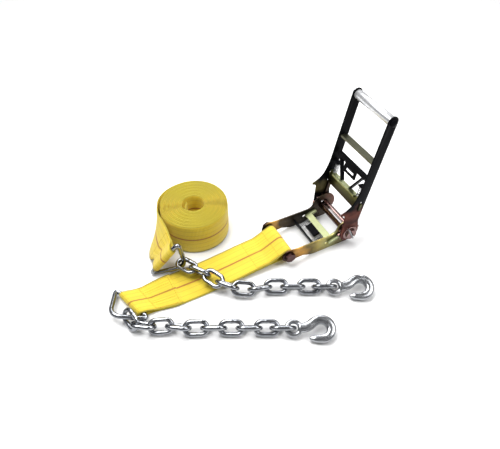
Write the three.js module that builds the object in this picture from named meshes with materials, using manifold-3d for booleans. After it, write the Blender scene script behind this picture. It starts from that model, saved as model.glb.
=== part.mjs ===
// Ratchet tie-down strap, 3 inch webbing, with a chain and grab hook on each end.
// Millimetres, +Z up, laid out on the plane z = 0. Left and right are seen from the
// strap end of the ratchet, so the left side is its +Y side.
import * as THREE from 'three';
import { mergeVertices } from 'three/addons/utils/BufferGeometryUtils.js';
import Module from 'manifold-3d';

const wasm = await Module();
wasm.setup();

const DEGREE = Math.PI / 180;
const GAP = 0.3; // clearance between neighbouring solids

// ---- driving dimensions -------------------------------------------------
const WEB = { width: 76, thickness: 2.6 };

const LAYOUT = { x: -0.76, y: 654.29 }; // middle of the outline on the floor plan
const RATCHET = { x: 173.9, y: 756.6, yaw: 27.5, spindle: 34 };

const BASE = { inner: 40.5, outer: 43.5, hub: 27 };
const BOLT = { back: 132, height: 22, radius: 6, eye: 15, sleeve: 8.2, end: 57 };
const WHEEL = { inner: 44.1, outer: 49.1, tip: 25, root: 20, teeth: 12, bore: 11.4 };
const SPINDLE = { radius: 11, slot: 5, slotLean: 25, washer: 16, pin: 2, pinAt: 58, end: 61 };
const HANDLE = { inner: 49.7, outer: 52.7, lean: 11.5, length: 250, half: 11, hub: 20.5 };
const CROSSBAR = { at: 161, thickness: 4, half: 8 };
const PAWL = { half: 2.6, reach: 49.3, engaged: 22, clear: 25.4 };
const DRIVE = { web: 54, top: 82, slotFrom: 54, slotTo: 77 };
const TRIGGER = { top: 130, band: 8, armFoot: 12, armHead: 37, armWide: 4, half: 4, seatFrom: 33.6 };
const DRIVE_SPRING = { y: 39, top: 104, radius: 4.5, bore: 2.6 };
const LOCK = { angle: 198.5, web: 34, back: 47, slotFrom: 20.5, slotTo: 52.6 };
const LOCK_BRACKET = { from: 71, to: 74 };
const LOCK_SPRING_Y = 24;
const GRIP = { radius: 9, bore: 4.9, bolt: 4.3 };

const STRAP = { length: 306, skew: 20, ringHeight: 8.4, flatHeight: 3.3 };
const GATHERED = 0.8; // share of the webbing's width where it folds round a ring
const RING = { wire: 4.5, halfBar: 48, reach: 50, sideCut: 14, pointCut: 22 };
const RING_POINT_CUT_IN = 7.94; // how far the rounding draws the ring's point back
const RING_LEFT_TILT = 17;
const RING_RIGHT = { x: -162, y: 633.4, z: 41, yaw: 193.9, tilt: -39.1, roll: 88.1 };
const ROLL = { x: -113, y: 751, outer: 70, inner: 21 };

const LINK = { wire: 4.25, halfWidth: 11.25, halfStraight: 8.75 };
const LINK_END = LINK.halfStraight + LINK.halfWidth; // to the middle of the end wire
const LINK_SLACK = 0.6; // play between the wires of two links
const LINKS_PER_CHAIN = 10;

// ---- looks --------------------------------------------------------------
const BLACK_ZINC = { color: 0x1b1b1c, roughness: 0.45, metalness: 0.7 };
const YELLOW_ZINC = { color: 0xa08a4a, roughness: 0.35, metalness: 0.9 };
const OLIVE_ZINC = { color: 0x9aa36c, roughness: 0.38, metalness: 0.85 };
const BRIGHT_ZINC = { color: 0xc4c8cc, roughness: 0.3, metalness: 0.95 };
const SPRING_STEEL = { color: 0x8d9196, roughness: 0.35, metalness: 0.9 };
const WHITE_GRIP = { color: 0xe3e4e6, roughness: 0.35, metalness: 0.4 };
const YELLOW_WEB = { color: 0xf2d93a, roughness: 0.9, metalness: 0 };

const object = new THREE.Group();
object.position.set(-LAYOUT.x, -LAYOUT.y, 0);

function group(parent, { x = 0, y = 0, z = 0, yaw = 0, tilt = 0, roll = 0 }) {
  const made = new THREE.Group();
  made.position.set(x, y, z);
  made.rotation.set(roll * DEGREE, tilt * DEGREE, yaw * DEGREE, 'ZYX');
  parent.add(made);
  return made;
}

function add(parent, name, geometry, look) {
  const mesh = new THREE.Mesh(geometry, new THREE.MeshStandardMaterial(look));
  mesh.name = name;
  parent.add(mesh);
  return mesh;
}

// ---- solids -------------------------------------------------------------
function toSolid(geometry) {
  const bare = geometry.clone();
  bare.deleteAttribute('normal');
  bare.deleteAttribute('uv');
  const merged = mergeVertices(bare, 1e-4);
  return new wasm.Manifold(new wasm.Mesh({
    numProp: 3,
    vertProperties: new Float32Array(merged.attributes.position.array),
    triVerts: new Uint32Array(merged.index.array),
  }));
}

function toGeometry(solid) {
  const mesh = solid.getMesh();
  const geometry = new THREE.BufferGeometry();
  geometry.setAttribute('position', new THREE.BufferAttribute(mesh.vertProperties, 3));
  geometry.setIndex(new THREE.BufferAttribute(mesh.triVerts, 1));
  geometry.computeVertexNormals();
  return geometry;
}

function join(...geometries) {
  return toGeometry(geometries.map(toSolid).reduce((sum, next) => sum.add(next)));
}

function cut(body, ...tools) {
  return toGeometry(tools.map(toSolid).reduce((rest, tool) => rest.subtract(tool), toSolid(body)));
}

// The outline's own points, without the doubled ones where two curves meet.
function corners(shape, curveSegments) {
  const points = shape.getPoints(curveSegments);
  const apart = points.filter((p, i) => p.distanceTo(points[(i + 1) % points.length]) > 1e-3);
  return new THREE.Shape(apart);
}

// An outline in the X-Z plane, given thickness from y0 to y1.
function slab(shape, y0, y1, curveSegments = 10) {
  const settings = { depth: y1 - y0, bevelEnabled: false };
  const outline = corners(shape, curveSegments);
  return new THREE.ExtrudeGeometry(outline, settings).rotateX(Math.PI / 2).translate(0, y1, 0);
}

// A round bar along Y.
function bar(radius, y0, y1, x = 0, z = 0, sides = 20) {
  const length = y1 - y0;
  return new THREE.CylinderGeometry(radius, radius, length, sides).translate(x, y0 + length / 2, z);
}

function tube(outer, bore, y0, y1, x = 0, z = 0, sides = 20) {
  const core = bar(bore, y0 - 1, y1 + 1, x, z, sides);
  return cut(bar(outer, y0, y1, x, z, sides), core);
}

function box(x0, x1, y0, y1, z0, z1) {
  const block = new THREE.BoxGeometry(x1 - x0, y1 - y0, z1 - z0);
  return block.translate((x0 + x1) / 2, (y0 + y1) / 2, (z0 + z1) / 2);
}

function polygon(points) {
  return new THREE.Shape(points.map(([x, z]) => new THREE.Vector2(x, z)));
}

// Moves every vertex of a geometry through a function of its place.
function warp(geometry, place) {
  const points = geometry.attributes.position;
  for (let i = 0; i < points.count; i += 1) {
    const moved = place(new THREE.Vector3().fromBufferAttribute(points, i));
    points.setXYZ(i, moved.x, moved.y, moved.z);
  }
  return geometry;
}

// A closed wire along a closed counter-clockwise outline in the X-Y plane.
function wireLoop(outline, wire, sides, steps) {
  const geometry = new THREE.TorusGeometry(1, 0.4, sides, steps);
  const points = geometry.attributes.position;
  for (let j = 0; j <= sides; j += 1) {
    const around = ((j % sides) / sides) * 2 * Math.PI;
    const out = wire * Math.cos(around);
    for (let i = 0; i <= steps; i += 1) {
      const along = (i % steps) / steps;
      const centre = outline.getPoint(along);
      const heading = outline.getTangent(along);
      const x = centre.x + heading.y * out;
      const y = centre.y - heading.x * out;
      points.setXYZ(j * (steps + 1) + i, x, y, wire * Math.sin(around));
    }
  }
  return geometry;
}

// A side that is mirrored to y < 0 for the right hand.
function bothSides(build) {
  build('left', (y0, y1) => [y0, y1]);
  build('right', (y0, y1) => [-y1, -y0]);
}

// ---- ratchet ------------------------------------------------------------
const ratchet = group(object, { x: RATCHET.x, y: RATCHET.y, yaw: RATCHET.yaw });

// A frame at the spindle whose +Z runs outwards in a direction of the X-Z plane.
function spoke(angle) {
  return group(ratchet, { z: RATCHET.spindle, tilt: 90 - angle });
}

function inSpoke(geometry, angle) {
  return geometry.rotateY((90 - angle) * DEGREE).translate(0, 0, RATCHET.spindle);
}

function basePlateOutline() {
  const { back, height, eye } = BOLT;
  return new THREE.Shape()
    .moveTo(-back, height + eye)
    .lineTo(-112, 34)
    .lineTo(-42, 33)
    .quadraticCurveTo(-26, 34, -23, 48)
    .absarc(0, RATCHET.spindle, BASE.hub, 142 * DEGREE, -50 * DEGREE, true)
    .lineTo(6, 0)
    .lineTo(-72, 0)
    .quadraticCurveTo(-86, 1, -100, 8)
    .absarc(-back, height, eye, -80 * DEGREE, -270 * DEGREE, true);
}

function buildBase() {
  const { back, height, radius, sleeve } = BOLT;
  bothSides((side, span) => {
    const plate = slab(basePlateOutline(), ...span(BASE.inner, BASE.outer), 12);
    const through = span(BASE.inner - 1, BASE.outer + 1);
    const slot = box(-3, 3, ...through, LOCK.slotFrom, LOCK.slotTo);
    const spindleHole = bar(SPINDLE.radius + 0.5, ...through, 0, RATCHET.spindle);
    const boltHole = bar(radius + GAP, ...through, -back, height);
    const geometry = cut(plate, spindleHole, boltHole, inSpoke(slot, LOCK.angle));
    add(ratchet, `base_plate_${side}`, geometry, YELLOW_ZINC);
  });
  const shank = bar(radius, -BASE.outer - 1, BOLT.end - 6, -back, height);
  const head = bar(10.5, -BASE.outer - 7, -BASE.outer - GAP, -back, height, 6);
  add(ratchet, 'anchor_bolt', join(shank, head), BRIGHT_ZINC);
  const nut = cut(
    bar(10.5, BASE.outer + GAP, BASE.outer + 6.5, -back, height, 6),
    bar(radius + GAP, BASE.outer, BASE.outer + 8, -back, height),
  );
  add(ratchet, 'anchor_nut', nut, BRIGHT_ZINC);
  const reach = BASE.inner - GAP;
  const spacer = tube(sleeve, radius + GAP, -reach, reach, -back, height);
  add(ratchet, 'anchor_sleeve', spacer, SPRING_STEEL);
}

function buildLock() {
  const lock = spoke(LOCK.angle);
  const { half, reach, engaged } = PAWL;
  const wing = (y0, y1) => box(-half, half, y0, y1, engaged, LOCK.back);
  const pawl = join(
    box(-half, half, -reach, reach, LOCK.web, LOCK.back),
    wing(34, reach),
    wing(-reach, -34),
  );
  add(lock, 'lock_pawl', pawl, OLIVE_ZINC);
  const tab = join(
    box(-half, half, -15, 15, LOCK.back + GAP, 62),
    box(-half, 6, -15, 15, 59, 62),
  );
  add(lock, 'lock_release_tab', tab, BLACK_ZINC);
  const inner = BASE.inner - GAP;
  const bracket = box(-5, 8, -inner, inner, LOCK_BRACKET.from, LOCK_BRACKET.to);
  add(lock, 'lock_spring_bracket', bracket, BLACK_ZINC);
  bothSides((side, span) => {
    const [y0, y1] = span(LOCK_SPRING_Y - 4.5, LOCK_SPRING_Y + 4.5);
    const length = LOCK_BRACKET.from - LOCK.back - 2 * GAP;
    const coil = tube(4.5, 2.6, 0, length, 0, 0, 12).rotateX(Math.PI / 2);
    coil.translate(0, (y0 + y1) / 2, LOCK.back + GAP);
    add(lock, `lock_spring_${side}`, coil, SPRING_STEEL);
  });
}

// One ratchet wheel: each tooth has a steep and a sloping flank.
function wheelOutline() {
  const corners = [];
  for (let tooth = 0; tooth < WHEEL.teeth; tooth += 1) {
    const gap = LOCK.angle + (tooth * 360) / WHEEL.teeth;
    const flanks = [[-9, WHEEL.tip], [-7.5, WHEEL.root], [7.5, WHEEL.root], [15, WHEEL.tip]];
    for (const [turn, radius] of flanks) {
      const angle = (gap + turn) * DEGREE;
      corners.push([radius * Math.cos(angle), radius * Math.sin(angle)]);
    }
  }
  return polygon(corners);
}

function buildSpindle() {
  const axle = group(ratchet, { z: RATCHET.spindle });
  const slotted = group(axle, { tilt: -SPINDLE.slotLean });
  const { radius, slot, end, pinAt, pin } = SPINDLE;
  const flat = Math.acos(slot / 2 / radius);
  const halfRound = new THREE.Shape().absarc(0, 0, radius, -flat, flat);
  const turned = slab(halfRound, -end, end, 12);
  add(slotted, 'spindle_half_front', turned.clone().rotateZ(Math.PI), BRIGHT_ZINC);
  add(slotted, 'spindle_half_back', turned, BRIGHT_ZINC);
  bothSides((side, span) => {
    const [y0, y1] = span(WHEEL.inner, WHEEL.outer);
    const bored = cut(slab(wheelOutline(), y0, y1), bar(WHEEL.bore, y0 - 1, y1 + 1));
    add(axle, `ratchet_wheel_${side}`, bored, BRIGHT_ZINC);
    const [w0, w1] = span(HANDLE.outer + GAP, HANDLE.outer + GAP + 2);
    add(axle, `spindle_washer_${side}`, tube(SPINDLE.washer, WHEEL.bore, w0, w1), BRIGHT_ZINC);
    const [p0, p1] = span(pinAt, pinAt);
    const cotter = new THREE.CylinderGeometry(pin, pin, 32, 10).rotateX(Math.PI / 2);
    add(slotted, `spindle_pin_${side}`, cotter.translate(0, (p0 + p1) / 2, 0), SPRING_STEEL);
  });
}

// The side plate of the handle: a straight rail that widens to a hub with a cam horn.
function handlePlateOutline() {
  const { length, half, hub } = HANDLE;
  return new THREE.Shape()
    .moveTo(half, 30)
    .lineTo(half, length)
    .absarc(0, length, half, 0, Math.PI)
    .lineTo(-half, 108)
    .quadraticCurveTo(-12.5, 84, -18, 72)
    .quadraticCurveTo(-24, 60, -38, 53)
    .lineTo(-37, 49)
    .quadraticCurveTo(-27, 50, -26, 38)
    .absarc(0, 0, hub, 170 * DEGREE, 385 * DEGREE);
}

function buildHandle() {
  const handle = spoke(90 - HANDLE.lean);
  const { inner, outer, length } = HANDLE;
  bothSides((side, span) => {
    const through = span(inner - 1, outer + 1);
    const [s0, s1] = span(TRIGGER.seatFrom, inner + 0.1);
    const seat = box(-6, 6, s0, s1, DRIVE_SPRING.top + GAP, DRIVE_SPRING.top + 3 + GAP);
    const plate = join(slab(handlePlateOutline(), ...span(inner, outer)), seat);
    const geometry = cut(
      plate,
      bar(SPINDLE.radius + 0.5, ...through),
      bar(GRIP.bolt + GAP, ...through, 0, length, 14),
      box(-3, 3, ...through, DRIVE.slotFrom, DRIVE.slotTo),
    );
    add(handle, `handle_plate_${side}`, geometry, BLACK_ZINC);
    const middle = span(DRIVE_SPRING.y, DRIVE_SPRING.y)[0];
    const rise = DRIVE_SPRING.top - DRIVE.top - 2 * GAP;
    const coil = tube(DRIVE_SPRING.radius, DRIVE_SPRING.bore, 0, rise, 0, 0, 12);
    coil.rotateX(Math.PI / 2).translate(0, middle, DRIVE.top + GAP);
    add(handle, `drive_spring_${side}`, coil, SPRING_STEEL);
  });
  const reach = inner - GAP;
  const { at, thickness, half } = CROSSBAR;
  add(handle, 'handle_crossbar', box(-half, half, -reach, reach, at, at + thickness), OLIVE_ZINC);
  const shank = bar(GRIP.bolt, -outer - 1, outer + 7, 0, length, 14);
  const head = bar(7.5, -outer - 4.5, -outer - GAP, 0, length, 16);
  add(handle, 'grip_bolt', join(shank, head), BLACK_ZINC);
  const nut = cut(
    bar(7.5, outer + GAP, outer + 5, 0, length, 6),
    bar(GRIP.bolt + GAP, outer, outer + 6, 0, length, 14),
  );
  add(handle, 'grip_nut', nut, BLACK_ZINC);
  const roller = tube(GRIP.radius, GRIP.bore, -reach, reach, 0, length, 20);
  add(handle, 'grip_roller', roller, WHITE_GRIP);
  buildDrivePawl(handle);
}

function buildDrivePawl(handle) {
  const { half, reach, clear } = PAWL;
  const wing = (y0, y1) => box(-half, half, y0, y1, clear, DRIVE.web + 1);
  const ear = (y0, y1) => box(-half, half, y0, y1, 58, 72);
  const pawl = join(
    box(-half, half, -reach, reach, DRIVE.web, DRIVE.top),
    box(-9, half, -36, 36, DRIVE.top - 4, DRIVE.top),
    wing(WHEEL.inner, reach),
    wing(-reach, -WHEEL.inner),
    ear(reach - 1, HANDLE.outer + 2),
    ear(-HANDLE.outer - 2, -reach + 1),
  );
  add(handle, 'drive_pawl', pawl, OLIVE_ZINC);
  const { top, band, armFoot, armHead, armWide, half: depth } = TRIGGER;
  const arm = (side) => {
    const foot = DRIVE.top + GAP;
    const head = top - 1;
    const leg = [[armFoot, foot], [armFoot + armWide, foot], [armHead + armWide, head], [armHead, head]];
    const shape = polygon(leg.map(([y, z]) => [side * y, z]));
    return slab(shape, -depth, depth, 1).rotateZ(Math.PI / 2);
  };
  const loop = cut(box(-4, -1, -18, 18, top - 26, top - 1), box(-7, 3, -12, 12, top - 22, top - 15));
  const trigger = join(
    box(-depth, depth, -45, 45, top - band, top),
    arm(1),
    arm(-1),
    loop,
  );
  add(handle, 'finger_trigger', trigger, BLACK_ZINC);
}

// ---- webbing ------------------------------------------------------------
// The short strap lies flat from the ring and climbs to the anchor bolt.
function buildShortStrap() {
  const { length, ringHeight, flatHeight } = STRAP;
  const boltX = -BOLT.back;
  const ringX = boltX - length;
  const middle = new THREE.CatmullRomCurve3([
    new THREE.Vector3(boltX - 4, 0, BOLT.height - 4),
    new THREE.Vector3(boltX - 30, 0, 14.5),
    new THREE.Vector3(boltX - 75, 0, 9.8),
    new THREE.Vector3(boltX - 115, 0, 5),
    new THREE.Vector3(boltX - 145, 0, flatHeight),
    new THREE.Vector3(ringX + 50, 0, flatHeight),
    new THREE.Vector3(ringX + 25, 0, flatHeight),
    new THREE.Vector3(ringX + 4, 0, ringHeight - 1),
  ]);
  const steps = 26;
  const upper = [];
  const lower = [];
  for (let i = 0; i <= steps; i += 1) {
    const at = middle.getPointAt(i / steps);
    const slope = middle.getTangentAt(i / steps);
    const dx = slope.z * WEB.thickness;
    const dz = -slope.x * WEB.thickness;
    upper.push([at.x + dx, at.z + dz]);
    lower.push([at.x - dx, at.z - dz]);
  }
  const half = WEB.width / 2;
  const strip = slab(polygon([...upper, ...lower.reverse()]), -half, half);
  const boltLoop = BOLT.sleeve + GAP;
  const ringLoop = RING.wire / Math.cos(STRAP.skew * DEGREE) + GAP;
  const looped = join(
    strip,
    bar(boltLoop + WEB.thickness, -half, half, boltX, BOLT.height),
    bar(ringLoop + WEB.thickness, -half, half, ringX, ringHeight, 16),
  );
  const strap = cut(
    looped,
    bar(boltLoop, -half - 1, half + 1, boltX, BOLT.height),
    bar(ringLoop, -half - 1, half + 1, ringX, ringHeight, 16),
  );
  const skewed = warp(strap, (p) => {
    const share = THREE.MathUtils.smoothstep(-p.x, -ringX - 80, -ringX - 12);
    p.x -= p.y * GATHERED * Math.tan(STRAP.skew * DEGREE) * share;
    p.y *= 1 - (1 - GATHERED) * share;
    return p;
  });
  add(ratchet, 'short_strap', skewed, YELLOW_WEB);
}

// A three-cornered ring: straight bar along Y at x = 0, point towards -X.
function ringOutline() {
  const { halfBar, reach, sideCut, pointCut } = RING;
  const leg = new THREE.Vector2(-reach, -halfBar).normalize();
  const side = leg.clone().multiplyScalar(sideCut);
  const point = leg.clone().multiplyScalar(-pointCut);
  return new THREE.Shape()
    .moveTo(0, -halfBar + sideCut)
    .lineTo(0, halfBar - sideCut)
    .quadraticCurveTo(0, halfBar, side.x, halfBar + side.y)
    .lineTo(-reach + point.x, point.y)
    .quadraticCurveTo(-reach, 0, -reach + point.x, -point.y)
    .lineTo(side.x, -halfBar - side.y)
    .quadraticCurveTo(0, -halfBar, 0, -halfBar + sideCut);
}

function ringGeometry() {
  return wireLoop(ringOutline(), RING.wire, 8, 30);
}

const leftRing = group(
  group(ratchet, { x: -BOLT.back - STRAP.length, z: STRAP.ringHeight, yaw: STRAP.skew }),
  { tilt: RING_LEFT_TILT },
);
const rightRing = group(object, RING_RIGHT);

function buildRoll() {
  const { x, y, inner, outer } = ROLL;
  const profile = [[inner, 0], [outer, 0], [outer, WEB.width], [inner, WEB.width], [inner, 0]];
  const turned = profile.map(([r, z]) => new THREE.Vector2(r, z));
  const ring = new THREE.LatheGeometry(turned, 36).rotateX(Math.PI / 2);
  ring.translate(x, y, 0);
  add(object, 'strap_roll', join(ring), YELLOW_WEB);
}

// The end of the long strap leaves the roll on edge and turns over into its ring.
function buildTail() {
  const edge = (points) => new THREE.CatmullRomCurve3(points.map((p) => new THREE.Vector3(...p)));
  rightRing.updateWorldMatrix(true, false);
  const toLayout = new THREE.Matrix4().makeTranslation(LAYOUT.x, LAYOUT.y, 0)
    .multiply(rightRing.matrixWorld);
  const half = (WEB.width / 2) * GATHERED;
  const ringPlace = (x, y, z) => new THREE.Vector3(x, y, z).applyMatrix4(toLayout).toArray();
  const beside = (angle, z) => {
    const reach = ROLL.outer + 2.4;
    const turn = angle * DEGREE;
    return [ROLL.x + reach * Math.cos(turn), ROLL.y + reach * Math.sin(turn), z];
  };
  const top = edge([
    beside(180, 75), beside(192, 75), beside(205, 75), [-169, 704, 74], [-155, 676, 70],
    ringPlace(0, half, 22), ringPlace(0, half, 4),
  ]);
  const bottom = edge([
    beside(180, 1.6), [-190, 734, 1.6], [-198, 713, 1.6], [-202, 690, 2], [-197, 662, 6],
    ringPlace(0, -half, 22), ringPlace(0, -half, 4),
  ]);
  const tape = new THREE.BoxGeometry(1, 1, 1, 14, 1, 4);
  const ribbon = warp(tape, (p) => {
    const along = p.x + 0.5;
    const across = p.z + 0.5;
    const high = top.getPoint(along);
    const low = bottom.getPoint(along);
    const ahead = top.getTangent(along).lerp(bottom.getTangent(along), across);
    const face = new THREE.Vector3().subVectors(low, high).cross(ahead).normalize();
    return high.lerp(low, across).addScaledVector(face, p.y * WEB.thickness * 1.4);
  });
  const loop = RING.wire + GAP;
  const around = (radius, reach) => bar(radius, -reach, reach, 0, 0, 16).applyMatrix4(toLayout);
  const joined = join(ribbon, around(loop + WEB.thickness, half));
  add(object, 'strap_tail', cut(joined, around(loop, half + 12)), YELLOW_WEB);
}

// ---- chains -------------------------------------------------------------
function linkGeometry() {
  const { wire, halfWidth, halfStraight } = LINK;
  const outline = new THREE.Shape()
    .moveTo(-halfStraight, -halfWidth)
    .lineTo(halfStraight, -halfWidth)
    .absarc(halfStraight, 0, halfWidth, -Math.PI / 2, Math.PI / 2)
    .lineTo(-halfStraight, halfWidth)
    .absarc(-halfStraight, 0, halfWidth, Math.PI / 2, 1.5 * Math.PI);
  return wireLoop(outline, wire, 8, 16);
}

function direction(heading) {
  return new THREE.Vector3(Math.cos(heading * DEGREE), Math.sin(heading * DEGREE), 0);
}

// Lays links nose to tail from the centre of the first one; returns the last centre.
// Each link has the heading and height of its centre, and its roll about its length.
function layChain(name, firstCentre, links) {
  const geometry = linkGeometry();
  const centre = firstCentre.clone();
  links.forEach(({ heading, height, roll, pitch = 0, pushed = 0 }, i) => {
    if (i > 0) {
      const before = direction(links[i - 1].heading);
      const ahead = direction(heading);
      const bend = before.angleTo(ahead);
      const reach = LINK_END - (LINK.wire + LINK_SLACK / 2) / Math.cos(bend / 2) - pushed / 2;
      centre.addScaledVector(before, reach).addScaledVector(ahead, reach);
    }
    centre.z = height;
    const number = String(i + 1).padStart(2, '0');
    const link = add(object, `${name}_link_${number}`, geometry, BRIGHT_ZINC);
    link.position.copy(centre);
    link.rotation.set(roll * DEGREE, -pitch * DEGREE, heading * DEGREE, 'ZYX');
  });
  return centre;
}

const HOOK = { thickness: 13, eye: 12, eyeWire: 4.4, bendX: 49, bendY: -1.5, outer: 23.5, inner: 10 };

function hookOutline() {
  const { bendX, bendY, outer, inner } = HOOK;
  const quarter = Math.PI / 2;
  return new THREE.Shape()
    .moveTo(12, 10)
    .bezierCurveTo(22, 10, 30, bendY + outer, bendX - 3, bendY + outer)
    .absarc(bendX, bendY, outer, quarter, -quarter, true)
    .lineTo(30, bendY - outer + 1)
    .quadraticCurveTo(22, -21, 26, -16)
    .lineTo(36, bendY - inner - 1)
    .absarc(bendX, bendY, inner, -quarter, quarter)
    .bezierCurveTo(34, bendY + inner - 1, 26, -6, 12, -9);
}

// A grab hook that lies on its side with its throat towards -Y.
function addHook(name, eyeCentre) {
  const { thickness, eye, eyeWire } = HOOK;
  const body = new THREE.ExtrudeGeometry(corners(hookOutline(), 7), {
    depth: thickness - 4,
    bevelEnabled: true,
    bevelSize: 1.5,
    bevelThickness: 2,
    bevelSegments: 1,
  }).translate(0, 0, 2 - thickness / 2);
  const ring = new THREE.TorusGeometry(eye, eyeWire, 8, 20);
  const bore = eye - eyeWire;
  const hole = new THREE.CylinderGeometry(bore, bore, 30, 20).rotateX(Math.PI / 2);
  const hook = add(object, name, cut(join(body, ring), hole), BRIGHT_ZINC);
  hook.position.copy(eyeCentre);
  hook.rotation.set(HOOK_ROLL * DEGREE, 0, 0);
}

const FACE = 36; // roll of the links that show their face
const EDGE = -54; // roll of the links between them
const FLOOR = 13.4; // height of a chain's middle line on the floor
const HOOK_ROLL = 20;
const HOOK_OFFSET = new THREE.Vector3(18.5, 0, 1.3); // last link's centre to the hook's eye

function inLayout(node, x, y, z) {
  node.updateWorldMatrix(true, false);
  const place = new THREE.Vector3(x, y, z).applyMatrix4(node.matrixWorld);
  return place.add(new THREE.Vector3(LAYOUT.x, LAYOUT.y, 0));
}

function floorLink(number) {
  return { heading: 0, height: FLOOR, roll: number % 2 ? FACE : EDGE };
}

// The left chain hangs on the ring's near leg, turns right and lies straight.
function buildLeftChain() {
  const leg = inLayout(leftRing, -RING.reach * 0.5, -RING.halfBar * 0.5, 0);
  const first = leg.add(new THREE.Vector3(2.6, -3.34, 0));
  const links = [
    { heading: -52, height: 14.1, roll: 54, pitch: -1.5 },
    { heading: -6.6, height: 16, roll: -39.7, pitch: -0.7 },
    { heading: 4, height: 14.8, roll: 44.2, pitch: 2.4 },
    { heading: -8.5, height: 14.6, roll: -45.3, pitch: 2.1 },
    { heading: 2, height: FLOOR, roll: 38 },
  ];
  while (links.length < LINKS_PER_CHAIN) links.push(floorLink(links.length + 1));
  links.at(-1).pushed = 3;
  const last = layChain('left_chain', first, links);
  addHook('left_grab_hook', last.add(HOOK_OFFSET));
}

// The right chain climbs over the short strap and comes down beside it.
function buildRightChain() {
  const point = inLayout(rightRing, -RING.reach + RING_POINT_CUT_IN, 0, 0);
  const first = point.add(new THREE.Vector3(9, -6.13, 0));
  const links = [
    { heading: -34.3, height: 19.79, roll: -173.6, pitch: 1.7 },
    { heading: -26.7, height: 21.2, roll: -71.5, pitch: -1 },
    { heading: -36.6, height: 21.12, roll: 23, pitch: -2.8 },
    { heading: -20.4, height: 20.57, roll: 129.8, pitch: -4.3 },
    { heading: -1.6, height: 16.4, roll: 211.8, pitch: -5.7 },
    { heading: 14.8, height: 13.97, roll: 310.3, pitch: -6.4 },
  ];
  while (links.length < LINKS_PER_CHAIN) links.push(floorLink(links.length + 1));
  links.at(-1).pushed = 3;
  const last = layChain('right_chain', first, links);
  addHook('right_grab_hook', last.add(HOOK_OFFSET));
}

buildBase();
buildLock();
buildSpindle();
buildHandle();
buildShortStrap();
add(leftRing, 'left_ring', ringGeometry(), BRIGHT_ZINC);
add(rightRing, 'right_ring', ringGeometry(), BRIGHT_ZINC);
buildRoll();
buildTail();
buildLeftChain();
buildRightChain();

export default object;
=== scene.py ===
import math

import bmesh
import bpy
import numpy as np
from mathutils import Matrix, Vector


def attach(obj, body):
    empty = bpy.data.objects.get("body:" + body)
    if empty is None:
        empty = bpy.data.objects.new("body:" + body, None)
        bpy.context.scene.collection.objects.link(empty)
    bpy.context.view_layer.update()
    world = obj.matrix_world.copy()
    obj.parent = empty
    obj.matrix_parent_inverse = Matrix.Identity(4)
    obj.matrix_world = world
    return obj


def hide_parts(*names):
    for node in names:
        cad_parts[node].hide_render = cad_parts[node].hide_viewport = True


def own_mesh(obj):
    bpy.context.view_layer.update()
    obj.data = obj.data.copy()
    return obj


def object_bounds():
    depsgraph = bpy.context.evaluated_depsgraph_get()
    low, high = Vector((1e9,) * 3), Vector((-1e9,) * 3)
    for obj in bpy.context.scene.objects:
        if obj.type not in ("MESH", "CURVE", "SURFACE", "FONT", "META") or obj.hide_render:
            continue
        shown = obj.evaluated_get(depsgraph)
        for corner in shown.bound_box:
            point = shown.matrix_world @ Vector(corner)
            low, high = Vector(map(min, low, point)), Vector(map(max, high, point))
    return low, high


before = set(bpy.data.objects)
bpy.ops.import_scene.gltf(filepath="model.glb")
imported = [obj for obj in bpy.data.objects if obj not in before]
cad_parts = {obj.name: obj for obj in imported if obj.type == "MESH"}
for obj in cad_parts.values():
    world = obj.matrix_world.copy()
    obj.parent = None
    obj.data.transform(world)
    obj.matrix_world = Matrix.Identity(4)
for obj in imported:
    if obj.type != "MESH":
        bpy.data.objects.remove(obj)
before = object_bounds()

MM = 0.001

# ---- camera -------------------------------------------------------------
camera = bpy.data.objects.new("camera", bpy.data.cameras.new("camera"))
camera.data.sensor_width = 36
camera.data.lens = 37.44
camera.data.clip_start = 0.01
camera.location = (0.00076, -0.65429, 0.791)
camera.rotation_euler = (math.radians(44), 0, 0)
bpy.context.scene.collection.objects.link(camera)
bpy.context.scene.camera = camera

# ---- frames of the parts in metres, and their sizes in millimetres ------
RATCHET = Matrix.Translation((0.17466, 0.10231, 0)) @ Matrix.Rotation(math.radians(27.5), 4, "Z")
SPINDLE_Z = 34
GRIP_Z = 250
LOCK_ANGLE = 198.5
TEETH = 12
BOLT = {"x": -132, "z": 22, "bore": 6.3, "sleeve": 8.2}
# How far the faces of each pair of plates lie from the ratchet's middle plane.
STACK = {"base": (40.5, 43.5), "wheel": (44.1, 49.1), "handle": (49.7, 52.7), "washer": (53, 55)}
COIL = {"radius": 4.5, "wire": 0.65}
SEAT = {"from": 33.6, "to": 50.2, "z": 105.8, "wide": 12, "high": 3}
STRAP = {"length": 306, "skew": 20, "ring_z": 8.4, "flat_z": 3.3, "half": 38, "thick": 2.4}
GATHERED = 0.8
ROLL = {"x": -112.24, "y": 96.71, "outer": 70, "inner": 21, "pitch": 2.6}
RING = {"wire": 4.5, "half_bar": 48, "reach": 50, "side_cut": 14, "point_cut": 22}


def turned(x, y, z, yaw, tilt):
    """A frame at a point in millimetres, turned about Z and then tilted about its own Y."""
    place = Matrix.Translation((x * MM, y * MM, z * MM))
    turn = Matrix.Rotation(math.radians(yaw), 4, "Z")
    return place @ turn @ Matrix.Rotation(math.radians(tilt), 4, "Y")


def spoke(angle):
    """A frame at the spindle whose +Z runs outwards at an angle in the ratchet's X-Z plane."""
    return RATCHET @ turned(0, 0, SPINDLE_Z, 0, 90 - angle)


HANDLE = spoke(78.5)
LEFT_RING = RATCHET @ turned(BOLT["x"] - STRAP["length"], 0, STRAP["ring_z"], STRAP["skew"], 17)
RIGHT_RING = turned(-161.24, -20.89, 41, 193.9, -39.1) @ Matrix.Rotation(math.radians(88.1), 4, "X")


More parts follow.
